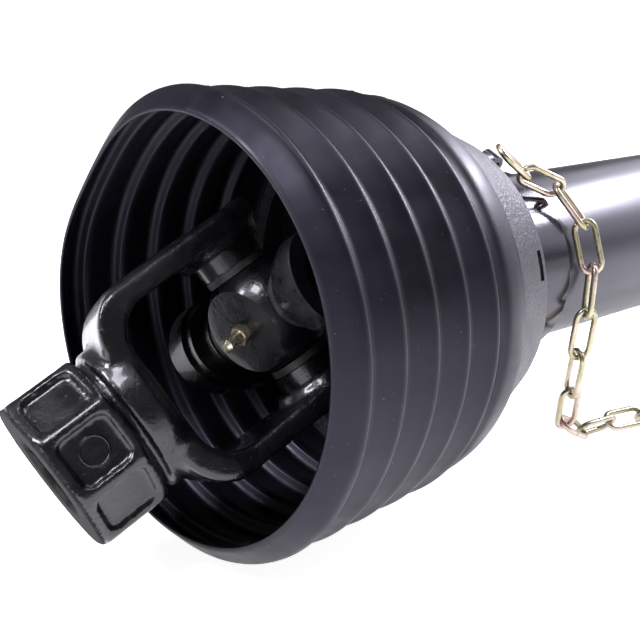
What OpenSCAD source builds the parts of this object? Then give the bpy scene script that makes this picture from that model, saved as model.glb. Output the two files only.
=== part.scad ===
// Guarded universal joint drive shaft: a telescoping shaft with a cross joint at each end, inside a
// plastic guard that stays still while the shaft turns. Millimetres, X along the shaft, Z up.
// Both ends hold the same pieces: end B's guard is end A's turned half a turn about Z.

/* [Shaft] */
// Distance between the two cross centres, closed
cross_to_cross = 700; // [660:1:760]
// Radius of the first and largest crest of the guard cone
cone_r = 101.2; // [98:0.1:106]
// Distance from the cross centre out to the guard cone's lip
lip_out = 49; // [45:0.5:52]

/* [Joint pose] */
// Turn of the inner yokes about the shaft, degrees
roll_deg = 31.5; // [0:0.5:90]
// Turn of the cross in the inner yoke, degrees
alpha_deg = 20.1; // [-25:0.1:25]
// Turn of the outer yoke on the cross, degrees
beta_deg = -23.4; // [-25:0.1:25]

/* [Yoke] */
// Half distance between the inside faces of the two arms
arm_in = 37.9; // [37:0.1:40]
// Half distance over the outside of the arms
arm_out = 49.5; // [49:0.1:51]
// Half width of the fork at its base
fork_half = 26.8; // [24:0.1:28]
// Radius of the ear round the bearing cap
ear_r = 22; // [20:0.5:24]
// Depth of the fork from the cross centre to its floor
fork_floor = 61.7; // [60:0.1:64]
// Distance from the cross centre to the outside of the fork's base
fork_back = 73.3; // [72:0.1:76]
// Distance from the cross centre to the hub's end face
hub_end = 117; // [114:0.5:122]
// Width of the hub across its flats
hub_w = 68.8; // [66:0.1:70]

/* [Spline] */
// Radius of the spline bore's lands
spline_minor = 14.9; // [14.8:0.05:15]
// Radius of the spline bore's grooves
spline_major = 17.5; // [17.4:0.05:17.6]
// Width of each groove
spline_w = 8.7; // [8.6:0.05:8.8]

/* [Cross] */
// Radius of a bearing cap
cap_r = 15.1; // [15:0.05:15.2]
// Half length of the cross over its caps
cap_end = 46; // [45.5:0.1:46]
// Radius of a cross pin
pin_r = 11; // [10.5:0.1:11.5]
// Radial clearance of a cross pin in its cap
pin_gap = 0.05; // [0.02:0.01:0.09]

/* [Guard] */
// Outside radius of the outer guard tube
guard_r = 44.5; // [44:0.1:45]
// Wall of the guard tubes
guard_wall = 2.5; // [2:0.1:2.5]
// Outside radius of the sleeve behind the collar
sleeve_r = 49; // [48:0.1:50]
// Wall of the rubber cone
cone_wall = 2.5; // [2:0.1:3]
// Distance between crests of the cone
crest_pitch = 20; // [19:0.5:21]
// Radius lost from one crest to the next
crest_fall = 1.4; // [1:0.1:1.6]

/* [Chain] */
// Outside width of the chain's links
chain_d = 12; // [10:0.5:12]

/* [Hidden] */
$fn = 96;
half = cross_to_cross / 2;
axis_z = cone_r;
// Long enough to cut right through any piece
far = 60;
// Fork: reach of its arms' blank past the cross, the corners of its U, and the crown of its arms
arm_reach = 40;
u_corner_out = 26;
u_corner_in = 17;
arm_crown_r = 120;
shoulder_x = 55;
ear_boss_r = 20;
ear_boss_in = 33;
// Circlips and their grooves
clip_t = 1.5;
clip_gap = 0.1;
groove_deep = 1.1;
// Hub: where it starts, its turned outside, its chamfer, and the forged pockets in its flats
hub_start = 83;
hub_round_r = 36.8;
hub_chamfer = 3;
pocket_x = 99.5;
pocket_l = 24;
pocket_w = 22;
pocket_deep = 2.6;
pocket_corner = 4;
// Neck of the inner yoke, and its groove for the guard's bearing ring
neck_r = 36;
neck_end = 112;
groove_r = 33;
ring_play = 0.3;
roll_pin_x = 102;
roll_pin_r = 4;
// Stations along a cone, measured inboard from its lip
ring_s = [128, 140];
flange_s = [116.5, 119.5];
collar_s = [119.6, 156];
sleeve_s = [146, 208];
crest_s = 11;
flange_in = 83;
groove_play = 0.2;
groove_floor = flange_in - groove_play;
// Three-lobed profile tubes: radius of a side's arc, distance of its centre, and corner radius
side_d = 38;
outer_side = 60;
outer_corner = 28.5;
profile_wall = 3.5;
tube_play = 0.3;
inner_wall = 4;
tube_a_end = 130;
tube_b_end = -150;
guard_tube_s = 150;
guard_a_end = 165;
guard_b_end = -130;
tube_seat = 70;
guard_play = 0.6;
// Lock pin across the hub, beside the bore
lock_x = 100;
lock_y = 20.9;
lock_r = 6;
lock_mouth = 30;
lock_seat = -15.2;
lock_floor = -17.5;
lock_tail = -5;
lock_neck_end = 19;
lock_tip = 40;
spring_gap = 0.2;
spring_r = 4.3;
spring_wire = 1.1;
// Cross: radius and thickness of its body, and where its shoulders and seals start
cross_ball_r = 26;
cross_t = 34;
shoulder_y = 22.4;
seal_end = 25.6;
cap_start = 26;
cap_floor = 3;
pin_r_end = 0.3;
nipple_r = 3;
nipple_x = 11;
// Chain lug, round the collar from the top
lug_deg = 27;
lug_r = 67;
// Collar: the inside of its hollow, its latch windows, and the screws in its rear face
hollow_r = 53;
hollow_s = [124, 152];
window_s = [147, 152];
window_w = 14;
window_deg = [44, 164, 284];
screw_deg = [45:90:315];
screw_at_r = 62;
screw_r = 1.8;
screw_head_r = 3.6;
screw_head_t = 2.4;
// Each chain's route: shaft station from the lip, sideways, and height over the floor. Both hang the
// same way. On the floor end A's runs on along the shaft, and end B's turns back under its own end.
chain_start = [
    [171, -31, 165], [176.5, -31, 161.5], [184, -30, 156], [194, -30.5, 151.5], [203, -31.5, 148.5],
    [211, -37, 143], [217, -42.5, 134], [220, -47.5, 123], [221, -51, 110], [220, -53, 96],
    [218, -52.5, 82], [217.5, -50.5, 67], [218.5, -47, 51], [221, -43, 35], [225, -38.5, 20.5],
    [231, -34.5, 10.5], [240, -33.5, 6.6], [253, -35, 6.4], [272, -38, 6.4], [292, -43, 6.4]];
chain_tail_a = [
    [314, -50, 6.4], [338, -56, 6.4], [362, -59, 6.4], [386, -58, 6.4], [408, -54, 6.4],
    [430, -51, 6.4], [454, -50, 6.4], [478, -51, 6.4], [496, -51, 6.4]];
chain_tail_b = [
    [306, -49.5, 6.4], [319, -55.5, 6.4], [332, -56, 6.4], [343, -49.5, 6.4], [348, -36, 6.4],
    [346, -22, 6.4], [338, -12, 6.4], [325, -8, 6.4], [309, -9.5, 6.4], [291, -13.5, 6.4],
    [274, -17.5, 6.4], [258, -20, 6.4], [242, -20, 6.4]];
// Hook: half its thickness, its eye's hole, its shank's length and the middle line of its open bend
hook_wire = 2.2;
hook_eye_r = 2.6;
hook_shank = 16;
hook_r = 8;

// ---- Placement. In an end's own frame the cross centre is the origin and +X points out of the shaft.
module end_a() translate([-half, 0, axis_z]) rotate([0, 0, 180]) children();
module end_b() translate([half, 0, axis_z]) children();
// hand is 1 at end A and -1 at end B, where the joint is bent as in a mirror, so that the inner yokes of
// the two ends stand in line on the shaft
module inner_pose(hand) rotate([hand * roll_deg, 0, 0]) rotate([0, 0, 180]) children();
module cross_pose(hand) rotate([hand * roll_deg, 0, 0]) rotate([0, alpha_deg, 0]) children();
module outer_pose(hand) cross_pose(hand) rotate([0, 0, hand * beta_deg]) rotate([90, 0, 0]) children();

// A shape turned round the shaft, from points of [station, radius]
module turned(points) rotate([0, 90, 0]) rotate_extrude() polygon([for (p = points) [p[1], p[0]]]);
// The same, with stations measured inboard from the lip
module guard_turned(points) turned([for (p = points) [lip_out - p[0], p[1]]]);
module rod_x(r, x0, x1) translate([x0, 0, 0]) rotate([0, 90, 0]) cylinder(r = r, h = x1 - x0);
module rod_y(r, y0, y1) translate([0, y1, 0]) rotate([90, 0, 0]) cylinder(r = r, h = y1 - y0);
module rounded(w, h, r) union() {
    square([w - 2 * r, h], center = true);
    square([w, h - 2 * r], center = true);
    for (x = [-1, 1], y = [-1, 1]) translate([x * (w / 2 - r), y * (h / 2 - r)]) circle(r, $fn = 32);
}
module both_arms() for (s = [0, 1]) mirror([0, s, 0]) children();

// ---- Forks. Local +X points from the cross to the hub and Y is the line of the fork's bearing caps.
module u_shape(half_w, bottom, corner) union() {
    translate([-arm_reach, -half_w]) square([arm_reach + bottom - corner, 2 * half_w]);
    translate([0, corner - half_w]) square([bottom, 2 * (half_w - corner)]);
    for (s = [-1, 1]) translate([bottom - corner, s * (half_w - corner)]) circle(corner);
}
module fork_plan() union() {
    circle(ear_r);
    polygon([[0, -ear_r], [shoulder_x, -fork_half], [fork_back + 5, -fork_half],
        [fork_back + 5, fork_half], [shoulder_x, fork_half], [0, ear_r]]);
}
module arm_crown() intersection_for(s = [-1, 1])
    translate([0, s * (arm_crown_r - arm_out), 0]) rod_x(arm_crown_r, -arm_reach, fork_back + 5);
module fork() difference() {
    union() {
        intersection() {
            translate([0, 0, -arm_reach]) linear_extrude(2 * arm_reach) difference() {
                u_shape(arm_out, fork_back, u_corner_out);
                u_shape(arm_in, fork_floor, u_corner_in);
            }
            rotate([90, 0, 0]) translate([0, 0, -far]) linear_extrude(2 * far) fork_plan();
            arm_crown();
        }
        both_arms() rod_y(ear_boss_r, ear_boss_in, arm_in + 1);
    }
    rod_y(cap_r, -far, far);
    both_arms() rod_y(cap_r + groove_deep, cap_end + clip_gap, cap_end + 2 * clip_gap + clip_t);
}

module spline_cut() union() {
    rod_x(spline_minor, fork_floor - 5, hub_end + 1);
    intersection() {
        rod_x(spline_major, fork_floor - 5, hub_end + 1);
        union() for (t = [0, 60, 120]) rotate([t, 0, 0])
            translate([shoulder_x, -spline_w / 2, -far / 2]) cube([hub_end - 40, spline_w, far]);
    }
    turned([[hub_end - 1.6, 0], [hub_end - 1.6, spline_major], [hub_end + 0.1, spline_major + 1.7],
        [hub_end + 0.1, 0]]);
}
module hub_blank() intersection() {
    rod_x(hub_round_r, hub_start, hub_end);
    rotate([0, 90, 0]) rotate([0, 0, 22.5]) cylinder(r = hub_w / 2 / cos(22.5), h = hub_end, $fn = 8);
    turned([[hub_start, 0], [hub_start, hub_w / 2], [hub_start + 2.5, hub_w / 2 + hub_chamfer],
        [hub_end - hub_chamfer, hub_w / 2 + hub_chamfer], [hub_end, hub_w / 2], [hub_end, 0]]);
}
module hub_pocket(t) rotate([t, 0, 0]) translate([pocket_x, 0, hub_w / 2 - pocket_deep])
    linear_extrude(10) rounded(pocket_l, pocket_w, pocket_corner);
module outer_yoke() color("#17171a") difference() {
    union() {
        fork();
        rod_x(34, fork_back - 7, 79);
        rod_x(31, 70, 90);
        difference() {
            hub_blank();
            for (t = [45, 90, 135, 180, 225, 270]) hub_pocket(t);
        }
        // thin raised ring of the forging die, in the middle pocket
        translate([pocket_x, 0, 0]) mirror([0, 0, 1]) difference() {
            translate([0, 0, 30]) cylinder(r = 6.2, h = 2.1);
            translate([0, 0, 31.8]) cylinder(r = 5.6, h = 2);
        }
        // boss round the lock pin, on the side away from that pocket
        translate([lock_x, lock_y, 5]) cylinder(r = 9, h = lock_mouth - 5);
    }
    spline_cut();
    translate([lock_x, lock_y, lock_seat]) cylinder(r = lock_r + pin_gap, h = far);
    translate([lock_x, lock_y, lock_floor]) cylinder(r = spring_r + 0.2, h = far);
    translate([lock_x, lock_y, lock_mouth - 3]) cylinder(r = lock_r + 1.2, h = 1.4);
}

// ---- Lock pin: pressed in 10 mm, its waist comes level with the bore and lets the shaft slide out
module lock_pin() color("#b9a468") translate([lock_x, lock_y, 0]) union() {
    translate([0, 0, lock_tail]) cylinder(r = lock_r, h = 1 - lock_tail);
    cylinder(r = lock_r / 2, h = lock_neck_end + 1);
    translate([0, 0, lock_neck_end]) cylinder(r = lock_r, h = lock_tip - 1 - lock_neck_end);
    translate([0, 0, lock_tip - 1]) cylinder(r1 = lock_r, r2 = lock_r - 1, h = 1);
}
module lock_spring() color("silver") translate([lock_x, lock_y, lock_floor]) difference() {
    cylinder(r = spring_r, h = lock_tail - spring_gap - lock_floor);
    translate([0, 0, -1]) cylinder(r = spring_r - spring_wire, h = far);
}
module lock_clip() color("silver") translate([lock_x, lock_y, lock_mouth - 2.9]) difference() {
    cylinder(r = lock_r + 1.1, h = 1.2);
    translate([0, 0, -1]) cylinder(r = lock_r + 0.35, h = 4);
    translate([0, -1.5, -1]) cube([20, 3, 4]);
}

// ---- Cross joint
module cross_body() color("#8d8f93") difference() {
    union() {
        intersection() {
            sphere(r = cross_ball_r);
            cube([cross_t, far, far], center = true);
        }
        for (t = [0, 90]) rotate([t, 0, 0])
            rod_y(pin_r, cap_floor + pin_r_end - cap_end, cap_end - cap_floor - pin_r_end);
    }
    // threaded hole for the grease nipple
    rod_x(nipple_r, nipple_x, far);
    // shoulders turned square to the pins
    for (t = [0, 90, 180, 270]) rotate([t, 0, 0]) difference() {
        rod_y(arm_reach, shoulder_y, cap_start + 4);
        rod_y(pin_r, shoulder_y - 1, cap_start + 5);
    }
}
module cap() difference() {
    rod_y(cap_r, cap_start, cap_end);
    rod_y(pin_r + pin_gap, cap_start - 1, cap_end - cap_floor);
}
module caps() color("#9a9ca0") both_arms() cap();
module circlip() difference() {
    rod_y(cap_r + groove_deep - clip_gap, cap_end + clip_gap, cap_end + clip_gap + clip_t);
    rod_y(cap_r - 2.6, cap_end - 1, cap_end + 3);
    translate([-20, cap_end - 1, -4]) cube([20, 4, 8]);
}
module circlips() color("#55565a") both_arms() circlip();
module seals() color("#202022") for (t = [0, 90, 180, 270]) rotate([t, 0, 0]) difference() {
    rod_y(14.4, shoulder_y, seal_end);
    rod_y(pin_r, shoulder_y - 1, cap_start);
}
module grease_nipple() color("#c9b06a") union() {
    rod_x(nipple_r, nipple_x, 18);
    translate([17, 0, 0]) rotate([0, 90, 0]) cylinder(r = 4.6, h = 4, $fn = 6);
    turned([[21, 0], [21, 3.3], [25, 2.2], [26, 2.2], [27, 3.2], [29, 3.2], [30.5, 1.8], [30.5, 0]]);
}

// ---- Shaft between the joints
module lobes(side, corner) intersection_for(t = [0, 120, 240]) intersection() {
    circle(corner);
    rotate(t) translate([-side_d, 0]) circle(side);
}
module lobe_x(side, corner, x0, x1) translate([x0, 0, 0]) rotate([0, 90, 0])
    linear_extrude(x1 - x0) lobes(side, corner);
bore_a = [outer_side, outer_corner];
bore_b = [outer_side - profile_wall - tube_play, outer_corner - profile_wall - tube_play];
module inner_yoke(bore) color("#17171a") difference() {
    union() {
        fork();
        rod_x(neck_r, fork_back - 8, neck_end);
        rod_x(neck_r + 4, fork_back - 8, 76);
    }
    lobe_x(bore[0], bore[1], tube_seat, neck_end + 1);
    difference() {
        rod_x(far, ring_s[0] - lip_out - ring_play, ring_s[1] - lip_out + ring_play);
        rod_x(groove_r, fork_floor, neck_end + 1);
    }
    translate([roll_pin_x, 0, 0]) rod_y(roll_pin_r, -far, far);
}
module roll_pin() color("#6d6e72") translate([roll_pin_x, 0, 0]) difference() {
    rod_y(roll_pin_r, -neck_r + 1.5, neck_r - 1.5);
    rod_y(roll_pin_r / 2, -far, far);
}
module world_lobe(side, corner, x0, x1) translate([0, 0, axis_z]) rotate([-roll_deg, 0, 0])
    lobe_x(side, corner, x0, x1);
module pin_hole(x) translate([x, 0, axis_z]) rotate([-roll_deg, 0, 0]) rod_y(roll_pin_r, -far, far);
module outer_profile_tube() color("#26262a") difference() {
    world_lobe(bore_a[0], bore_a[1], -half + tube_seat, tube_a_end);
    world_lobe(bore_a[0] - profile_wall, bore_a[1] - profile_wall, -half, tube_a_end + 1);
    pin_hole(roll_pin_x - half);
}
module inner_profile_tube() color("#3a3a3f") difference() {
    world_lobe(bore_b[0], bore_b[1], tube_b_end, half - tube_seat);
    world_lobe(bore_b[0] - inner_wall, bore_b[1] - inner_wall, tube_b_end - 1, half);
    pin_hole(half - roll_pin_x);
}

// ---- Guard
function crest(i) = [crest_s + crest_pitch * i, cone_r - crest_fall * i];
function step(i) = crest(i) + [1.5, -2.8];
function inward(p) = p + [0.6, -cone_wall];
cone_skin = concat([[0, 93], crest(0)], [for (i = [0:3], k = [0, 1]) k == 0 ? step(i) : crest(i + 1)],
    [step(4), [100, 93.2], [108, 92.4], [114, 90.8], [118, 88.3]]);
module rubber_cone() color("#1b1a20") guard_turned(concat(
    cone_skin, [[flange_s[1], 86.4], [flange_s[1], flange_in], [flange_s[0], flange_in],
        [flange_s[0], 85.2]],
    [for (i = [len(cone_skin) - 2:-1:0]) inward(cone_skin[i])]));
module collar() color("#222226") difference() {
    guard_turned([[112, 84], [flange_s[0] - groove_play, 84], [flange_s[0] - groove_play, groove_floor],
        [collar_s[0], groove_floor], [collar_s[0], 86], [collar_s[1], 72], [collar_s[1], sleeve_r],
        [hollow_s[0], sleeve_r], [hollow_s[0], hollow_r], [hollow_s[1], hollow_r],
        [hollow_s[1], 70], [hollow_s[0], 76.9], [112, 76.9]]);
    for (t = window_deg) rotate([t, 0, 0]) translate([lip_out - window_s[1], -window_w / 2, far])
        cube([window_s[1] - window_s[0], window_w, arm_reach]);
    for (t = screw_deg) rotate([t, 0, 0]) translate([0, 0, screw_at_r])
        rod_x(screw_r, lip_out - collar_s[1] - 4, lip_out - hollow_s[1] + 2);
}
module collar_screws() color("#8f9095") for (t = screw_deg) rotate([t, 0, 0])
    translate([lip_out - collar_s[1], 0, screw_at_r]) difference() {
        union() {
            rod_x(screw_r, 0, 10);
            rod_x(screw_head_r, -screw_head_t, 0);
        }
        translate([-screw_head_t - 0.1, -3, -0.4]) cube([1.1, 6, 0.8]);
        translate([-screw_head_t - 0.1, -0.4, -3]) cube([1.1, 0.8, 6]);
    }
module guard_ring() color("#d9d6cc") difference() {
    guard_turned([[ring_s[0], groove_r + 0.05], [ring_s[1], groove_r + 0.05], [ring_s[1], 38],
        [136, 41], [136, sleeve_r], [126, sleeve_r], [126, 41], [ring_s[0], 41]]);
    // split, so that it can be opened over the neck
    translate([lip_out - ring_s[1] - 5, -1.5, 20]) cube([30, 3, arm_reach]);
}
module sleeve(bore) color("#141416") guard_turned([[sleeve_s[0], bore], [sleeve_s[0], sleeve_r],
    [sleeve_s[1] - 2, sleeve_r], [sleeve_s[1], sleeve_r - 1.4], [sleeve_s[1], bore]]);
module guard_tube(r, x0, x1) translate([0, 0, axis_z]) difference() {
    rod_x(r, x0, x1);
    rod_x(r - guard_wall, x0 - 1, x1 + 1);
}
guard_b_r = guard_r - guard_wall - guard_play;
module outer_guard_tube() color("#1d1d20") guard_tube(guard_r, guard_tube_s - lip_out - half, guard_a_end);
module inner_guard_tube() color("#1d1d20") guard_tube(guard_b_r, guard_b_end, half + lip_out - guard_tube_s);

// ---- Chain. The lug stands on the collar's rear face, and the chain leaves it along the shaft.
module chain_lug() color("#1a1a1c") rotate([-lug_deg, 0, 0]) translate([lip_out - collar_s[1], 0, lug_r]) union() {
    rod_x(5, -4, 0);
    difference() {
        translate([-6.5, 0, 0]) rod_y(4.8, -4, 4);
        translate([-7, 0, 0]) rod_y(2, -10, 10);
    }
}
function unit(v) = v / norm(v);
function heading(path, i) = unit(path[min(i + 1, len(path) - 1)] - path[max(i - 1, 0)]);
// Each ring of the tube stands square to the path, on a side vector square to the floor or nearly so
function ring_points(path, i, r, sides) =
    let (d = heading(path, i), side = unit(cross(d, [0.3, 1, 0.2])), up = cross(side, d))
    [for (k = [0:sides - 1]) path[i] + r * (cos(360 * k / sides) * side + sin(360 * k / sides) * up)];
module tube_along(path, r, sides = 8) polyhedron(
    points = [for (i = [0:len(path) - 1]) each ring_points(path, i, r, sides)],
    faces = concat([[for (k = [0:sides - 1]) k]],
        [for (i = [0:len(path) - 2], k = [0:sides - 1]) [i * sides + k, (i + 1) * sides + k,
            (i + 1) * sides + (k + 1) % sides, i * sides + (k + 1) % sides]],
        [[for (k = [sides - 1:-1:0]) (len(path) - 1) * sides + k]]));
// The chain is one round bar of the links' outer size
module chain(tail) color("#c8bd8a") tube_along(
    [for (p = concat(chain_start, tail)) [p[0] - lip_out - half, p[1], p[2]]], chain_d / 2);
// Flat hook stamped from plate: a closed eye, a shank and an open bend
module hook_outline() difference() {
    eye_x = hook_eye_r + 2 * hook_wire;
    union() {
        translate([eye_x, 0]) circle(eye_x);
        translate([eye_x, -hook_wire]) square([hook_shank, 2 * hook_wire]);
        translate([eye_x + hook_shank, -hook_r]) circle(hook_r + hook_wire);
    }
    translate([eye_x, 0]) circle(hook_eye_r);
    translate([eye_x + hook_shank, -hook_r]) circle(hook_r - hook_wire);
    translate([eye_x + hook_shank - 2 * hook_r, -1.4 * hook_r]) square([2 * hook_r, 1.4 * hook_r - hook_wire]);
}
// turn is 0 where the chain ends along the shaft, and 180 where it has come back
module chain_hook(tail, turn) color("#c8bd8a")
    translate([tail[len(tail) - 1][0] - lip_out - half, tail[len(tail) - 1][1], 0])
    rotate([0, 0, turn]) linear_extrude(2 * hook_wire) hook_outline();

module at_end(b) {
    if (b) end_b() children();
    else end_a() children();
}
module at_half(b) rotate([0, 0, b ? 180 : 0]) children();

at_end(false) outer_pose(1) outer_yoke();  // outer_yoke_a
at_end(false) outer_pose(1) lock_pin();  // lock_pin_a
at_end(false) outer_pose(1) lock_spring();  // lock_spring_a
at_end(false) outer_pose(1) lock_clip();  // lock_clip_a
at_end(false) cross_pose(1) cross_body();  // cross_a
at_end(false) outer_pose(1) caps();  // outer_caps_a
at_end(false) inner_pose(1) caps();  // inner_caps_a
at_end(false) outer_pose(1) circlips();  // outer_circlips_a
at_end(false) inner_pose(1) circlips();  // inner_circlips_a
at_end(false) cross_pose(1) seals();  // cross_seals_a
at_end(false) cross_pose(1) grease_nipple();  // grease_nipple_a
at_end(false) inner_pose(1) inner_yoke(bore_a);  // inner_yoke_a
at_end(false) inner_pose(1) roll_pin();  // roll_pin_a
at_end(false) guard_ring();  // guard_ring_a
at_end(false) rubber_cone();  // rubber_cone_a
at_end(false) collar();  // collar_a
at_end(false) collar_screws();  // collar_screws_a
at_end(false) sleeve(guard_r);  // sleeve_a
at_end(false) chain_lug();  // chain_lug_a
at_half(false) chain(chain_tail_a);  // chain_a
at_half(false) chain_hook(chain_tail_a, 0);  // chain_hook_a
at_end(true) outer_pose(-1) outer_yoke();  // outer_yoke_b
at_end(true) outer_pose(-1) lock_pin();  // lock_pin_b
at_end(true) outer_pose(-1) lock_spring();  // lock_spring_b
at_end(true) outer_pose(-1) lock_clip();  // lock_clip_b
at_end(true) cross_pose(-1) cross_body();  // cross_b
at_end(true) outer_pose(-1) caps();  // outer_caps_b
at_end(true) inner_pose(-1) caps();  // inner_caps_b
at_end(true) outer_pose(-1) circlips();  // outer_circlips_b
at_end(true) inner_pose(-1) circlips();  // inner_circlips_b
at_end(true) cross_pose(-1) seals();  // cross_seals_b
at_end(true) cross_pose(-1) grease_nipple();  // grease_nipple_b
at_end(true) inner_pose(-1) inner_yoke(bore_b);  // inner_yoke_b
at_end(true) inner_pose(-1) roll_pin();  // roll_pin_b
at_end(true) guard_ring();  // guard_ring_b
at_end(true) rubber_cone();  // rubber_cone_b
at_end(true) collar();  // collar_b
at_end(true) collar_screws();  // collar_screws_b
at_end(true) sleeve(guard_b_r);  // sleeve_b
at_end(true) chain_lug();  // chain_lug_b
at_half(true) chain(chain_tail_b);  // chain_b
at_half(true) chain_hook(chain_tail_b, 180);  // chain_hook_b
outer_profile_tube();
inner_profile_tube();
outer_guard_tube();
inner_guard_tube();
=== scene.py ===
from math import cos, exp, pi, radians, sin

import bpy
import bmesh
from mathutils import Matrix, Vector, noise


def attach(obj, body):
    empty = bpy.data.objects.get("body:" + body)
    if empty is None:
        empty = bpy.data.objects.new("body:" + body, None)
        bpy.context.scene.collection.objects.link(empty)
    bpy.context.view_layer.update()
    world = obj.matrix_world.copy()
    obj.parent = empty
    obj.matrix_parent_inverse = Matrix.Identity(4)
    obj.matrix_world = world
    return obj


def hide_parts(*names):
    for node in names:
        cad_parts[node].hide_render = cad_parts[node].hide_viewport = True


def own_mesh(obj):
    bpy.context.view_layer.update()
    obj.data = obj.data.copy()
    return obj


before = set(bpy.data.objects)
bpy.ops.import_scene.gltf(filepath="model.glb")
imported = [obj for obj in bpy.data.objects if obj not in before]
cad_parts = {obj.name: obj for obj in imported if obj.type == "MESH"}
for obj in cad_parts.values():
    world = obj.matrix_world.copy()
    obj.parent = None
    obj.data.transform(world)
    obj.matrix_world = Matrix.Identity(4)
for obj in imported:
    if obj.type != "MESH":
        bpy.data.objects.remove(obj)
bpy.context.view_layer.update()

# ---- Studio
# A white floor under the shaft, with low white walls far off, and soft panels round it. The camera
# looks along the shaft from beyond end A, a little above the guard, as someone does who is about to
# fit the hub.
camera_place = Vector((-0.6805, -0.3846, 0.2326))
camera_heading = -43.294
camera_elevation = 14.853
camera_lens = 66.8

camera_data = bpy.data.cameras.new("camera")
camera_data.lens = camera_lens
camera_data.sensor_width = 36
camera = bpy.data.objects.new("camera", camera_data)
camera.matrix_world = (Matrix.Translation(camera_place)
                       @ Matrix.Rotation(radians(camera_heading), 4, "Z")
                       @ Matrix.Rotation(radians(90 - camera_elevation), 4, "X"))
bpy.context.scene.collection.objects.link(camera)
bpy.context.scene.camera = camera
bpy.context.scene.view_settings.view_transform = "Standard"
panel_colour = (0.9, 0.88, 1.0)


def panel(name, place, target, width, height, watts):
    """A soft rectangular light that faces a point."""
    light = bpy.data.lights.new(name, "AREA")
    light.shape = "RECTANGLE"
    light.size, light.size_y, light.energy = width, height, watts
    light.color = panel_colour
    holder = bpy.data.objects.new(name, light)
    facing = (Vector(target) - Vector(place)).to_track_quat("-Z", "Y")
    holder.matrix_world = Matrix.Translation(place) @ facing.to_matrix().to_4x4()
    bpy.context.scene.collection.objects.link(holder)


panel("overhead_panel", (0.1, 0.1, 1.9), (0, 0, 0.1), 1.2, 0.5, 12)
panel("key_panel", (-1.5, 0.55, 1.0), (-0.35, 0, 0.1), 0.35, 0.6, 22)
panel("far_panel", (2.5, -0.25, 1.2), (-0.2, 0, 0.1), 3.4, 1.5, 38)
panel("fork_panel", (-0.95, -0.1, 1.1), (-0.43, 0, 0.1), 0.3, 0.3, 7)
panel("crest_panel", (0.66, -0.16, 0.7), (-0.3, 0, 0.15), 0.55, 0.14, 13)

world = bpy.data.worlds.new("studio")
world.use_nodes = True
world.node_tree.nodes["Background"].inputs["Color"].default_value = (1, 1, 1, 1)
world.node_tree.nodes["Background"].inputs["Strength"].default_value = 0.16
bpy.context.scene.world = world

FLOOR_REACH, FLOOR_DROP, WALL_HEIGHT = 300, 0.0004, 20
floor_mesh = bpy.data.meshes.new("floor")
floor_mesh.from_pydata([(x * FLOOR_REACH, y * FLOOR_REACH, z) for z in (-FLOOR_DROP, WALL_HEIGHT)
                        for x, y in ((-1, -1), (1, -1), (1, 1), (-1, 1))],
                       [], [(0, 1, 2, 3), (0, 1, 5, 4), (1, 2, 6, 5), (2, 3, 7, 6), (3, 0, 4, 7)])
floor = bpy.data.objects.new("floor", floor_mesh)
bpy.context.scene.collection.objects.link(floor)
floor_paint = bpy.data.materials.new("floor_paint")
floor_paint.use_nodes = True
floor_shader = floor_paint.node_tree.nodes["Principled BSDF"]
floor_shader.inputs["Base Color"].default_value = (0.92, 0.92, 0.93, 1)
floor_shader.inputs["Roughness"].default_value = 0.7
floor_shader.inputs["Emission Color"].default_value = (1, 1, 1, 1)
floor_shader.inputs["Emission Strength"].default_value = 0.9
floor_mesh.materials.append(floor_paint)

# ---- Guard chains
# A welded long-link chain of yellow zinc plated steel hangs from the collar of each guard, and its
# hook holds the guard to the tractor, so that it can't turn. Each link is bent from wire and butt
# welded in the middle of one leg, which leaves a bead.
LINK_INSIDE = 0.0234
LINK_WIRE = 0.0031
LINK_WIDTH = 0.0133
WELD_SWELL = 0.28
WELD_HALF = 0.0016
axis_height = 0.1012
lip_x = 0.399
# Stations along the guard from its lip, sideways, and height over the floor, in millimetres
CHAIN_START = [
    (171, -31, 165), (176.5, -31, 161.5), (184, -30, 156), (194, -30.5, 151.5), (203, -31.5, 148.5),
    (211, -37, 143), (217, -42.5, 134), (220, -47.5, 123), (221, -51, 110), (220, -53, 96),
    (218, -52.5, 82), (217.5, -50.5, 67), (218.5, -47, 51), (221, -43, 35), (225, -38.5, 20.5),
    (231, -34.5, 10.5), (240, -33.5, 6.6), (253, -35, 6.4), (272, -38, 6.4), (292, -43, 6.4)]
CHAIN_TAIL_A = [
    (314, -50, 6.4), (338, -56, 6.4), (362, -59, 6.4), (386, -58, 6.4), (408, -54, 6.4),
    (430, -51, 6.4), (454, -50, 6.4), (478, -51, 6.4), (496, -51, 6.4)]
CHAIN_TAIL_B = [
    (306, -49.5, 6.4), (319, -55.5, 6.4), (332, -56, 6.4), (343, -49.5, 6.4), (348, -36, 6.4),
    (346, -22, 6.4), (338, -12, 6.4), (325, -8, 6.4), (309, -9.5, 6.4), (291, -13.5, 6.4),
    (274, -17.5, 6.4), (258, -20, 6.4), (242, -20, 6.4)]


class Maths:
    """A shader socket that takes Python's operators, so that an expression adds its Math nodes."""

    def __init__(self, finish, socket):
        self.finish, self.socket = finish, socket

    def do(self, operation, *others):
        return self.finish.node("Math", dict(operation=operation), [self, *others])

    def __add__(self, other):
        return self.do("ADD", other)

    def __sub__(self, other):
        return self.do("SUBTRACT", other)

    def __mul__(self, other):
        return self.do("MULTIPLY", other)

    def __gt__(self, other):
        return self.do("GREATER_THAN", other)

    def __lt__(self, other):
        return self.do("LESS_THAN", other)

    def __pow__(self, other):
        return self.do("POWER", other)

    def __rsub__(self, other):
        return self.finish.node("Math", dict(operation="SUBTRACT"), [other, self])

    __radd__ = __add__
    __rmul__ = __mul__


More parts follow.
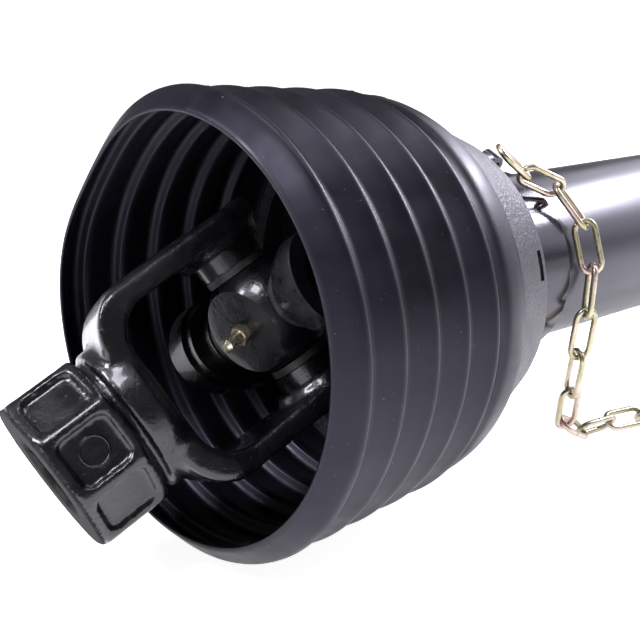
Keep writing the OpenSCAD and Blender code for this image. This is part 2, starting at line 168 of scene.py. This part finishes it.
class Finish:
    """A material as it is written: it makes nodes, and sets its surface shader's sockets."""

    def __init__(self, name):
        self.material = bpy.data.materials.new(name)
        self.material.use_nodes = True
        self.tree = self.material.node_tree
        self.shader = self.tree.nodes["Principled BSDF"]
        self.place = self.node("TexCoord", output="Object")

    def fill(self, socket, value):
        if isinstance(value, Maths):
            self.tree.links.new(value.socket, socket)
        elif isinstance(value, tuple) and socket.type == "RGBA":
            socket.default_value = (*value, 1)
        else:
            socket.default_value = value

    def node(self, kind, settings={}, values=(), output=0, stops=()):
        """Any node: settings first, then values for its sockets by place or by name."""
        made = self.tree.nodes.new("ShaderNode" + kind)
        for key, value in settings.items():
            setattr(made, key, value)
        for number, (at, shade) in enumerate(stops):
            stop = made.color_ramp.elements[number] if number < 2 else made.color_ramp.elements.new(at)
            stop.position, stop.color = at, (shade, shade, shade, 1)
        for key, value in values.items() if isinstance(values, dict) else enumerate(values):
            self.fill(made.inputs[key], value)
        return Maths(self, made.outputs[output])

    def noise(self, size, detail=3, rough=0.55, vector=None):
        """Noise whose features are about size metres across."""
        return self.node("TexNoise", values={"Vector": vector or self.place, "Scale": 1 / size,
                                             "Detail": detail, "Roughness": rough})

    def between(self, value, low, high):
        """value from low to high becomes 0 to 1."""
        return self.node("MapRange", values=[value, low, high])

    def blend(self, factor, first, second):
        """A colour from first to second."""
        made = self.tree.nodes.new("ShaderNodeMix")
        made.data_type = "RGBA"
        self.fill(made.inputs[0], factor)
        self.fill(made.inputs[6], first)
        self.fill(made.inputs[7], second)
        return Maths(self, made.outputs[2])

    def bump(self, height, depth, strength=1.0, under=None):
        """height from 0 to 1 raises the surface by depth metres."""
        values = {"Height": height, "Distance": depth, "Strength": strength}
        if under:
            values["Normal"] = under
        return self.node("Bump", values=values)

    def surface(self, **sockets):
        for name, value in sockets.items():
            self.fill(self.shader.inputs[name.replace("_", " ")], value)
        return self.material


def zinc(name, pale, gold, rough):
    """Yellow zinc plate: straw with green and pink tints, duller where it has been handled. Its dark
    patches are partly handling stains and partly painted dark reflections.
    """
    plate = Finish(name)
    tint = plate.noise(0.011, 2)
    wear_and_reflection_noise = plate.noise(0.0035, 5, 0.7)
    straw = plate.blend(plate.between(tint, 0.35, 0.65), pale, gold)
    pink = plate.blend(plate.between(plate.noise(0.02, 1), 0.5, 0.72), straw, (0.62, 0.47, 0.42))
    # Dark patches: partly handling stains, partly painted dark reflections on the zinc.
    stain_and_painted_reflection = plate.blend(plate.between(wear_and_reflection_noise, 0.56, 0.75), pink, (0.2, 0.18, 0.12))
    return plate.surface(Base_Color=stain_and_painted_reflection, Metallic=0.92,
                         Roughness=rough + 0.25 * plate.between(wear_and_reflection_noise, 0.35, 0.75),
                         Normal=plate.bump(wear_and_reflection_noise, 0.00008))


chain_zinc = zinc("chain_zinc", (0.5, 0.47, 0.36), (0.4, 0.36, 0.2), 0.24)


def input_socket(tree, name, kind, value):
    made = tree.interface.new_socket(name, in_out="INPUT", socket_type="NodeSocket" + kind)
    if value is not None:
        made.default_value = value
    return made.identifier


def add_node(tree, kind, settings={}, values={}):
    """A geometry node. A value that is a socket is linked, and any other is set."""
    made = tree.nodes.new(kind)
    for key, value in settings.items():
        setattr(made, key, value)
    for key, value in values.items():
        if isinstance(value, bpy.types.NodeSocket):
            tree.links.new(value, made.inputs[key])
        else:
            made.inputs[key].default_value = value
    return made


def geometry_tree(name):
    tree = bpy.data.node_groups.new(name, "GeometryNodeTree")
    tree.interface.new_socket("Geometry", in_out="INPUT", socket_type="NodeSocketGeometry")
    tree.interface.new_socket("Geometry", in_out="OUTPUT", socket_type="NodeSocketGeometry")
    return tree


def end_tree(tree, geometry, material):
    """Realize Instances, Set Material, and out."""
    real = add_node(tree, "GeometryNodeRealizeInstances", values={"Geometry": geometry})
    painted = add_node(tree, "GeometryNodeSetMaterial",
                       values={"Geometry": real.outputs[0], "Material": material})
    out = tree.nodes.new("NodeGroupOutput")
    tree.links.new(painted.outputs[0], out.inputs[0])


def bake_tree(name, start_mesh, tree, values={}):
    """Runs a tree on a mesh and returns the result as a plain mesh object."""
    holder = bpy.data.objects.new(name + "_maker", start_mesh)
    bpy.context.scene.collection.objects.link(holder)
    maker = holder.modifiers.new("maker", "NODES")
    maker.node_group = tree
    for identifier, value in values.items():
        maker[identifier] = value
    bpy.context.view_layer.update()
    evaluated = holder.evaluated_get(bpy.context.evaluated_depsgraph_get())
    made = bpy.data.meshes.new_from_object(evaluated)
    made.name = name
    holder.modifiers.remove(maker)
    bpy.data.objects.remove(holder)
    return new_piece(name, made)


def new_piece(name, mesh):
    piece = bpy.data.objects.new(name, mesh)
    bpy.context.scene.collection.objects.link(piece)
    return piece


# The tree strings links along a route: each is a racetrack of wire with a weld bead on one leg, and
# each stands square to the one before it.
links = geometry_tree("chain_links")
links_pitch = input_socket(links, "Pitch", "Float", LINK_INSIDE)
links_wire = input_socket(links, "Wire", "Float", LINK_WIRE)
links_width = input_socket(links, "Width", "Float", LINK_WIDTH)
links_twist = input_socket(links, "Twist", "Float", radians(38))
given = links.nodes.new("NodeGroupInput")


def plain_maths(tree, operation, *values):
    return add_node(tree, "ShaderNodeMath", {"operation": operation},
                    dict(enumerate(values))).outputs[0]


link_length = plain_maths(links, "ADD", given.outputs["Pitch"], given.outputs["Wire"])
link_breadth = plain_maths(links, "SUBTRACT", given.outputs["Width"], given.outputs["Wire"])
racetrack = add_node(links, "GeometryNodeCurvePrimitiveQuadrilateral",
                     values={"Width": link_length, "Height": link_breadth})
rounded = add_node(links, "GeometryNodeFilletCurve", {"mode": "POLY"},
                   {"Curve": racetrack.outputs[0], "Count": 7, "Limit Radius": True,
                    "Radius": plain_maths(links, "MULTIPLY", link_breadth, 0.499)})
finer = add_node(links, "GeometryNodeResampleCurve", values={"Curve": rounded.outputs[0], "Count": 72})
spot = add_node(links, "GeometryNodeInputPosition")
parts = add_node(links, "ShaderNodeSeparateXYZ", values={"Vector": spot.outputs[0]})
off_weld = plain_maths(links, "DIVIDE", parts.outputs["X"], WELD_HALF)
swell = plain_maths(links, "EXPONENT", plain_maths(
    links, "MULTIPLY", plain_maths(links, "MULTIPLY", off_weld, off_weld), -1.0))
one_leg = plain_maths(links, "GREATER_THAN", parts.outputs["Y"], 0.0)
thick = plain_maths(links, "ADD", 1.0, plain_maths(
    links, "MULTIPLY", plain_maths(links, "MULTIPLY", swell, one_leg), WELD_SWELL))
beaded = add_node(links, "GeometryNodeSetCurveRadius",
                  values={"Curve": finer.outputs[0], "Radius": thick})
wire_round = add_node(links, "GeometryNodeCurvePrimitiveCircle", values={
    "Resolution": 14, "Radius": plain_maths(links, "MULTIPLY", given.outputs["Wire"], 0.5)})
link_body = add_node(links, "GeometryNodeCurveToMesh",
                     values={"Curve": beaded.outputs[0], "Profile Curve": wire_round.outputs[0]})
smooth_link = add_node(links, "GeometryNodeSetShadeSmooth", values={"Geometry": link_body.outputs[0]})
route_curve = add_node(links, "GeometryNodeMeshToCurve", values={"Mesh": given.outputs["Geometry"]})
route_length = add_node(links, "GeometryNodeCurveLength", values={"Curve": route_curve.outputs[0]})
count = plain_maths(links, "ROUND", plain_maths(
    links, "DIVIDE", route_length.outputs[0], given.outputs["Pitch"]))
stations = add_node(links, "GeometryNodeResampleCurve",
                    values={"Curve": route_curve.outputs[0],
                            "Count": plain_maths(links, "ADD", count, 1.0)})
spots = add_node(links, "GeometryNodeCurveToPoints", {"mode": "EVALUATED"},
                 {"Curve": stations.outputs[0]})
number = add_node(links, "GeometryNodeInputIndex")
follow = add_node(links, "GeometryNodeFieldAtIndex", {"data_type": "FLOAT_VECTOR"}, {
    "Index": plain_maths(links, "ADD", number.outputs[0], 1.0), "Value": spot.outputs[0]})
ahead = add_node(links, "ShaderNodeVectorMath", {"operation": "SUBTRACT"},
                 {0: follow.outputs[0], 1: spot.outputs[0]})
middle = add_node(links, "ShaderNodeVectorMath", {"operation": "SCALE"},
                  {0: ahead.outputs[0], "Scale": 0.5})
aimed = add_node(links, "FunctionNodeAlignRotationToVector", {"axis": "X"},
                 {"Vector": ahead.outputs[0]})
quarter = plain_maths(links, "MULTIPLY", plain_maths(links, "MODULO", number.outputs[0], 2.0), pi / 2)
roll = add_node(links, "ShaderNodeCombineXYZ", values={
    "X": plain_maths(links, "ADD", quarter, given.outputs["Twist"])})
roll_turn = add_node(links, "FunctionNodeEulerToRotation", values={"Euler": roll.outputs[0]})
turned = add_node(links, "FunctionNodeRotateRotation", {"rotation_space": "LOCAL"},
                  {"Rotation": aimed.outputs[0], "Rotate By": roll_turn.outputs[0]})
kept_turn = add_node(links, "GeometryNodeStoreNamedAttribute", {"data_type": "QUATERNION"},
                     {"Geometry": spots.outputs[0], "Name": "turn", "Value": turned.outputs[0]})
centred = add_node(links, "GeometryNodeSetPosition",
                   values={"Geometry": kept_turn.outputs[0], "Offset": middle.outputs[0]})
last_one = plain_maths(links, "COMPARE", number.outputs[0], count, 0.5)
all_but_last = add_node(links, "GeometryNodeDeleteGeometry", {"domain": "POINT"},
                        {"Geometry": centred.outputs[0], "Selection": last_one})
named_turn = add_node(links, "GeometryNodeInputNamedAttribute", {"data_type": "QUATERNION"},
                      {"Name": "turn"})
strung = add_node(links, "GeometryNodeInstanceOnPoints", values={
    "Points": all_but_last.outputs[0], "Instance": smooth_link.outputs[0],
    "Rotation": named_turn.outputs[0]})
end_tree(links, strung.outputs[0], chain_zinc)


def chain_path(side, tail):
    """The route in metres. End A's is side 1, and end B's starts the same, turned half a turn."""
    return [(side * (s / 1000 - lip_x), side * y / 1000, z / 1000) for s, y, z in CHAIN_START + tail]


def smooth_path(points, steps=6):
    """Points along a Catmull-Rom curve through the given ones."""
    ends = [points[0], *points, points[-1]]
    out = []
    for a, b, c, d in zip(ends, ends[1:], ends[2:], ends[3:]):
        for k in range(steps):
            t = k / steps
            out.append(tuple(0.5 * (2 * q + (r - p) * t + (2 * p - 5 * q + 4 * r - s) * t * t
                                    + (3 * q - p - 3 * r + s) * t ** 3)
                             for p, q, r, s in zip(a, b, c, d)))
    return out + [points[-1]]


for end, side, tail in (("a", 1, CHAIN_TAIL_A), ("b", -1, CHAIN_TAIL_B)):
    path = smooth_path(chain_path(side, tail))
    line = bpy.data.meshes.new("route")
    line.from_pydata(path, [(i, i + 1) for i in range(len(path) - 1)], [])
    chain = bake_tree("guard_chain_" + end, line, links)
    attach(chain, "guard_" + end)
    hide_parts("chain_" + end)


def paint(material, *names):
    """Gives CAD nodes of both ends a material."""
    for name in names:
        for node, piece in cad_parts.items():
            if node in (name, name + "_a", name + "_b"):
                piece.data.materials.clear()
                piece.data.materials.append(material)


paint(chain_zinc, "chain_hook")

# ---- Rubber cones
# Each cone is one moulding of flexible black plastic, ribbed like a bellows so that it gives when a
# hand or the tractor's drawbar pushes it. Its lip has taken a dent on one side, and the mould's
# parting line runs along it near the top.
CONE_CRESTS = 5
CREST_START, CREST_PITCH, CREST_RADIUS, CREST_FALL = 0.011, 0.020, 0.1012, 0.0014
CONE_WALL = 0.0025
LIP_RADIUS = 0.093


def cone_outline():
    """Outer skin as (station, radius): a rounded lip, five saw-tooth bands and a domed shoulder."""
    points = [(0.0, LIP_RADIUS - 0.0012), (0.0003, LIP_RADIUS - 0.0003), (0.0012, LIP_RADIUS + 0.0008)]
    points += [(0.0055, LIP_RADIUS + 0.0046)]
    for i in range(CONE_CRESTS):
        s, r = CREST_START + CREST_PITCH * i, CREST_RADIUS - CREST_FALL * i
        points += [(s - 0.003, r - 0.0009), (s - 0.0015, r - 0.00025), (s, r), (s + 0.0012, r - 0.0005),
                   (s + 0.0022, r - 0.002), (s + 0.0028, r - 0.0038), (s + 0.0036, r - 0.0052)]
        if i < CONE_CRESTS - 1:
            points += [(s + 0.008, r - 0.0046), (s + 0.0135, r - 0.0031)]
    points += [(0.100, 0.0932), (0.104, 0.0930), (0.108, 0.0924), (0.1115, 0.0917), (0.114, 0.0908),
               (0.1162, 0.0898), (0.118, 0.0883), (0.1188, 0.0874), (0.1193, 0.0866)]
    return points


DENT_AT, DENT_SPREAD, DENT_DEPTH, DENT_REACH = 42.0, 24.0, 0.0062, 0.038
PARTING_AT = 96.0


def cone_mesh(name, side, around=360):
    outer = cone_outline()
    inner = [(max(s + 0.0005, 0.0006), r - CONE_WALL) for s, r in outer[2:]][::-1]
    back = [(0.1193, 0.0832), (0.1167, 0.0832)]
    ring = outer + back + [p for p in inner if p[0] < 0.1166] + [(0.0002, LIP_RADIUS - 0.0021)]
    bm = bmesh.new()
    rows = []
    for k in range(around):
        turn = 2 * pi * k / around
        away = ((360 * k / around - DENT_AT + 180) % 360 - 180) / DENT_SPREAD
        seam = ((360 * k / around - PARTING_AT + 180) % 360 - 180) * pi / 180 * LIP_RADIUS
        row = []
        for number, (s, r) in enumerate(ring):
            wobble = 0.0004 * noise.noise((cos(turn) * 1.5, sin(turn) * 1.5, s * 12)) * exp(-s / 0.05)
            dent = DENT_DEPTH * exp(-away * away) * exp(-(s / DENT_REACH) ** 2)
            ridge = 0.0003 * exp(-(seam / 0.0009) ** 2) if number < len(outer) else 0
            radius = r - dent + wobble + ridge
            row.append(bm.verts.new((side * (s - lip_x), side * radius * cos(turn),
                                     axis_height + radius * sin(turn))))
        rows.append(row)
    for k, row in enumerate(rows):
        following = rows[(k + 1) % around]
        for i in range(len(ring)):
            j = (i + 1) % len(ring)
            bm.faces.new((row[i], row[j], following[j], following[i]))
    bmesh.ops.recalc_face_normals(bm, faces=bm.faces)
    for face in bm.faces:
        face.smooth = True
    mesh = bpy.data.meshes.new(name)
    bm.to_mesh(mesh)
    bm.free()
    return mesh


def cone_rubber():
    skin = Finish("cone_rubber")
    cloud = skin.noise(0.035, 3)
    grain = skin.noise(0.0007, 2)
    dust = skin.noise(0.0016, 1)
    smear = skin.node("TexNoise", values={
        "Vector": skin.node("Mapping", values={"Vector": skin.place, "Scale": (9.0, 60.0, 60.0)}),
        "Scale": 1.0, "Detail": 4.0})
    shade = skin.blend(skin.between(cloud, 0.35, 0.7), (0.0055, 0.0048, 0.0078), (0.0105, 0.0092, 0.0145))
    speck = skin.between(dust, 0.755, 0.79)
    return skin.surface(
        Base_Color=skin.blend(speck * 0.3, shade, (0.25, 0.24, 0.23)),
        Specular_IOR_Level=0.27, Specular_Tint=(0.86, 0.83, 1.0),
        Roughness=0.29 + 0.1 * skin.between(cloud, 0.3, 0.7) + 0.12 * skin.between(smear, 0.4, 0.66),
        Normal=skin.bump(grain, 0.00003, 0.5, skin.bump(smear, 0.0001, 0.4)))


rubber = cone_rubber()
for end, side in (("a", 1), ("b", -1)):
    cone = new_piece("guard_cone_" + end, cone_mesh("guard_cone_" + end, side))
    cone.data.materials.append(rubber)
    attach(cone, "guard_" + end)
    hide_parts("rubber_cone_" + end)

# ---- Yokes
# Each yoke is forged in dies and painted gloss black. The forging's skin is rough and its edges are
# round, so the paint sparkles along them. Only the bores, the splines and the ring groove are cut.
YOKE_VOXEL = 0.0011
CROSS_AT = 0.350
FORK_END, FORK_FADE = 0.074, 0.006
EAR_BORE_KEPT, EAR_BORE_FADE = 0.0172, 0.002
HUB_END, BORE_REACH = 0.1156, 0.0186
BORE_IN_FORK = 0.014
DIE_RING_AT, DIE_RING_RADIUS, DIE_RING_WIRE = (0.0995, 0, -0.0319), 0.0060, 0.0006


def forged_paint():
    coat = Finish("forged_black")
    scale = coat.noise(0.0045, 4, 0.6)
    grit = coat.noise(0.0012, 3, 0.65)
    pit = coat.noise(0.003, 2)
    rough_patch = coat.between(coat.noise(0.018, 2), 0.42, 0.62)
    lumps = coat.bump(scale, 0.0006, 0.55)
    pores = coat.bump(grit, 0.0004, 0.35, lumps)
    pits = coat.bump(coat.between(pit, 0.68, 0.74), -0.0003, 0.5, pores)
    return coat.surface(
        Base_Color=coat.blend(rough_patch, (0.003, 0.003, 0.004), (0.006, 0.006, 0.0075)),
        Roughness=0.2 + 0.16 * rough_patch + 0.08 * grit, Specular_IOR_Level=0.4,
        Coat_Weight=0.5, Coat_Roughness=0.09, Normal=pits)


forging = forged_paint()


def greased_and_shaded_bore():
    """The cut faces of the hub: bare steel, dull under a film of old grease, and coloured near-black as
    painted shade on the hub's end and in its bore.
    """
    film = Finish("greased_and_shaded_bore")
    smear = film.between(film.noise(0.004, 3), 0.4, 0.65)
    # Near-black colour: painted shade, with a grease smear in it.
    return film.surface(Base_Color=film.blend(smear, (0.012, 0.011, 0.011), (0.03, 0.028, 0.026)),
                        Specular_IOR_Level=0.12, Roughness=0.75 + 0.15 * smear,
                        Normal=film.bump(smear, 0.00005, 0.5))


bore_film_and_shade = greased_and_shaded_bore()


def outer_yoke_place(hand):
    """The outer yoke's own frame: X runs from the cross to the hub, and Y through the bearing caps."""
    place = Matrix.Translation((-hand * CROSS_AT, 0, axis_height))
    if hand > 0:
        place = place @ Matrix.Rotation(pi, 4, "Z")
    for degrees, axis in ((hand * 31.5, "X"), (20.1, "Y"), (-hand * 23.4, "Z"), (90, "X")):
        place = place @ Matrix.Rotation(radians(degrees), 4, axis)
    return place


def modified(piece, *steps):
    """Gives the piece modifiers, each as its type and its settings, and bakes them into its mesh."""
    for kind, settings in steps:
        modifier = piece.modifiers.new(kind.lower(), kind)
        for key, value in settings.items():
            setattr(modifier, key, value)
    made = bpy.data.meshes.new_from_object(
        piece.evaluated_get(bpy.context.evaluated_depsgraph_get()), preserve_all_data_layers=True,
        depsgraph=bpy.context.evaluated_depsgraph_get())
    piece.modifiers.clear()
    piece.data = made


def add_die_ring(bm, place, around=48, sides=10):
    """The thin ring that the forging die raised in the hub's middle pocket."""
    rows = []
    for k in range(around):
        turn = 2 * pi * k / around
        row = []
        for j in range(sides):
            tilt = 2 * pi * j / sides
            reach = DIE_RING_RADIUS + DIE_RING_WIRE * cos(tilt)
            spot = (reach * cos(turn), reach * sin(turn), DIE_RING_WIRE * sin(tilt))
            row.append(bm.verts.new(place @ (Vector(DIE_RING_AT) + Vector(spot))))
        rows.append(row)
    for row, following in zip(rows, rows[1:] + rows[:1]):
        for j in range(sides):
            i = (j + 1) % sides
            bm.faces.new((row[j], following[j], following[i], row[i]))


def forged_copy(node, voxel, hand):
    """A copy of a CAD node with the round edges of a forging on its fork, and crisp bores and splines."""
    piece = new_piece(node.replace("yoke", "fork_forging"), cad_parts[node].data.copy())
    bm = bmesh.new()
    bm.from_mesh(piece.data)
    bmesh.ops.remove_doubles(bm, verts=bm.verts, dist=0.000002)
    bm.to_mesh(piece.data)
    bm.free()
    modified(piece, ("REMESH", dict(mode="VOXEL", voxel_size=voxel)),
             ("SMOOTH", dict(factor=0.5, iterations=5)))
    to_yoke = outer_yoke_place(hand).inverted()
    fork = piece.vertex_groups.new(name="fork")
    for vertex in piece.data.vertices:
        x, _, z = to_yoke @ vertex.co
        before_hub = min(max((FORK_END + FORK_FADE - x) / FORK_FADE, 0), 1)
        off_bore = min(max(((x * x + z * z) ** 0.5 - EAR_BORE_KEPT) / EAR_BORE_FADE, 0), 1)
        fork.add([vertex.index], before_hub * off_bore, "REPLACE")
    modified(piece, ("SMOOTH", dict(factor=0.5, iterations=45, vertex_group="fork")))
    piece.vertex_groups.clear()
    bm = bmesh.new()
    bm.from_mesh(piece.data)
    add_die_ring(bm, outer_yoke_place(hand))
    bm.to_mesh(piece.data)
    bm.free()
    piece.data.polygons.foreach_set("use_smooth", [True] * len(piece.data.polygons))
    piece.data.materials.clear()
    piece.data.materials.append(forging)
    piece.data.materials.append(bore_film_and_shade)
    # The hub's end face and its bore take the second material, near-black and dull: painted shade over the
    # cut steel.
    for face in piece.data.polygons:
        x, y, z = to_yoke @ face.center
        if x > HUB_END or x > FORK_END - BORE_IN_FORK and y * y + z * z < BORE_REACH ** 2:
            face.material_index = 1
    return piece


for end, hand in (("a", 1), ("b", -1)):
    fork = forged_copy("outer_yoke_" + end, YOKE_VOXEL, hand)
    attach(fork, "yoke_" + end)
    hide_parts("outer_yoke_" + end)
paint(forging, "inner_yoke", "cross", "outer_caps", "inner_caps", "outer_circlips", "inner_circlips")

# ---- Collars and bearing rings
# The collar is hard black plastic with a sand-blasted skin. It grips the cone's edge and the end of
# the guard tube, and the white nylon ring inside it runs in a groove of the yoke.
plastic_tint = (0.88, 0.85, 1.0)


def collar_plastic():
    skin = Finish("collar_plastic")
    sand = skin.noise(0.0018, 2, 0.7)
    worn = skin.between(skin.noise(0.02, 2), 0.4, 0.7)
    return skin.surface(
        Base_Color=skin.blend(skin.between(sand, 0.45, 0.62), (0.016, 0.016, 0.019), (0.045, 0.044, 0.05)),
        Specular_Tint=plastic_tint, Roughness=0.35 + 0.12 * worn, Normal=skin.bump(sand, 0.0006, 1.0))


paint(collar_plastic(), "collar")


def nylon():
    skin = Finish("nylon")
    stain = skin.between(skin.noise(0.012, 3), 0.45, 0.75)
    return skin.surface(Base_Color=skin.blend(stain, (0.72, 0.7, 0.63), (0.5, 0.47, 0.38)),
                        Roughness=0.42 + 0.1 * stain, Normal=skin.bump(skin.noise(0.0015), 0.00006, 0.5))


paint(nylon(), "guard_ring")

# ---- Sleeves, tubes and lugs
# The sleeve is a smooth gloss moulding. The guard tubes are extruded, so their faint draw lines run
# along them, and both have light scuffs from handling.
def plastic(name, dark, pale, rough, streak):
    skin = Finish(name)
    along = skin.node("TexNoise", values={
        "Vector": skin.node("Mapping", values={"Vector": skin.place, "Scale": (3.0, 900.0, 900.0)}),
        "Scale": 1.0, "Detail": 2.0})
    cloud = skin.between(skin.noise(0.05, 3), 0.35, 0.7)
    scuff = skin.between(skin.node("TexNoise", values={
        "Vector": skin.node("Mapping", values={"Vector": skin.place, "Scale": (60.0, 400.0, 400.0)}),
        "Scale": 1.0, "Detail": 3.0}), 0.66, 0.74)
    return skin.surface(Base_Color=skin.blend(cloud, dark, pale),
                        Specular_Tint=plastic_tint, Roughness=rough + 0.08 * cloud + 0.15 * scuff,
                        Normal=skin.bump(along, 0.00004, streak))


paint(plastic("sleeve_plastic", (0.006, 0.006, 0.008), (0.011, 0.011, 0.014), 0.14, 0.15),
      "sleeve", "chain_lug")
paint(plastic("guard_plastic", (0.013, 0.0125, 0.017), (0.02, 0.019, 0.025), 0.3, 0.5),
      "outer_guard_tube", "inner_guard_tube")

# ---- Steel inside
# The profile tubes are drawn and thinly painted, and the pins and springs are oiled spring steel. The
# nipple, the lock pin and the screws are zinc plated, and the cross's seals are moulded rubber.
def steel(name, pale, dark, rough, size):
    metal = Finish(name)
    film = metal.between(metal.noise(size, 4, 0.6), 0.35, 0.7)
    fine = metal.noise(0.0006, 2)
    return metal.surface(Base_Color=metal.blend(film, pale, dark), Metallic=1.0,
                         Roughness=rough + 0.2 * film, Normal=metal.bump(fine, 0.00002, 0.4))


paint(steel("spring_steel", (0.2, 0.2, 0.21), (0.07, 0.07, 0.07), 0.3, 0.004),
      "lock_spring", "lock_clip", "roll_pin")
paint(zinc("zinc_steel", (0.78, 0.74, 0.58), (0.66, 0.6, 0.36), 0.2),
      "grease_nipple", "lock_pin", "collar_screws")


def tube_paint():
    coat = Finish("tube_black")
    grease = coat.between(coat.noise(0.03, 4), 0.4, 0.65)
    return coat.surface(Base_Color=coat.blend(grease, (0.03, 0.03, 0.034), (0.012, 0.011, 0.01)),
                        Roughness=0.45 - 0.2 * grease,
                        Normal=coat.bump(coat.noise(0.002), 0.00008, 0.5))


paint(tube_paint(), "outer_profile_tube", "inner_profile_tube")


def seal_rubber():
    skin = Finish("seal_rubber")
    bloom = skin.between(skin.noise(0.003, 3), 0.4, 0.7)
    return skin.surface(Base_Color=skin.blend(bloom, (0.012, 0.012, 0.012), (0.03, 0.03, 0.03)),
                        Roughness=0.45 + 0.2 * bloom, Normal=skin.bump(skin.noise(0.0008), 0.00004, 0.5))


paint(seal_rubber(), "cross_seals")

# ---- Lock springs
# Each lock pin stands on a coil spring of round wire in the bottom of its blind hole, and squeezes it
# to under a fifth of its height when it is pressed in.
COIL_RADIUS, COIL_WIRE, COIL_TURNS = 0.0037, 0.0005, 5
COIL_BOTTOM, COIL_TOP = -0.0175, -0.0052
LOCK_HOLE_AT = (0.100, 0.0209, 0)


def coil_mesh(name, place, steps=160, sides=8):
    """A coil from the floor of the lock pin's hole up to the pin."""
    bm = bmesh.new()
    rows = []
    for k in range(steps + 1):
        turn = 2 * pi * COIL_TURNS * k / steps
        height = COIL_BOTTOM + COIL_WIRE + (COIL_TOP - COIL_BOTTOM - 2 * COIL_WIRE) * k / steps
        row = []
        for j in range(sides):
            tilt = 2 * pi * j / sides
            reach = COIL_RADIUS + COIL_WIRE * cos(tilt)
            row.append(bm.verts.new(place @ Vector((reach * cos(turn), reach * sin(turn),
                                                    height + COIL_WIRE * sin(tilt)))))
        rows.append(row)
    for row, following in zip(rows, rows[1:]):
        for j in range(sides):
            i = (j + 1) % sides
            bm.faces.new((row[j], following[j], following[i], row[i]))
    bm.faces.new(rows[0])
    bm.faces.new(rows[-1][::-1])
    bmesh.ops.recalc_face_normals(bm, faces=bm.faces)
    mesh = bpy.data.meshes.new(name)
    bm.to_mesh(mesh)
    bm.free()
    mesh.materials.append(bpy.data.materials["spring_steel"])
    return mesh


for end, hand in (("a", 1), ("b", -1)):
    hole = outer_yoke_place(hand) @ Matrix.Translation(LOCK_HOLE_AT)
    coil = new_piece("lock_coil_" + end, coil_mesh("lock_coil_" + end, hole))
    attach(coil, "yoke_" + end)
    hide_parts("lock_spring_" + end)
    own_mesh(coil)
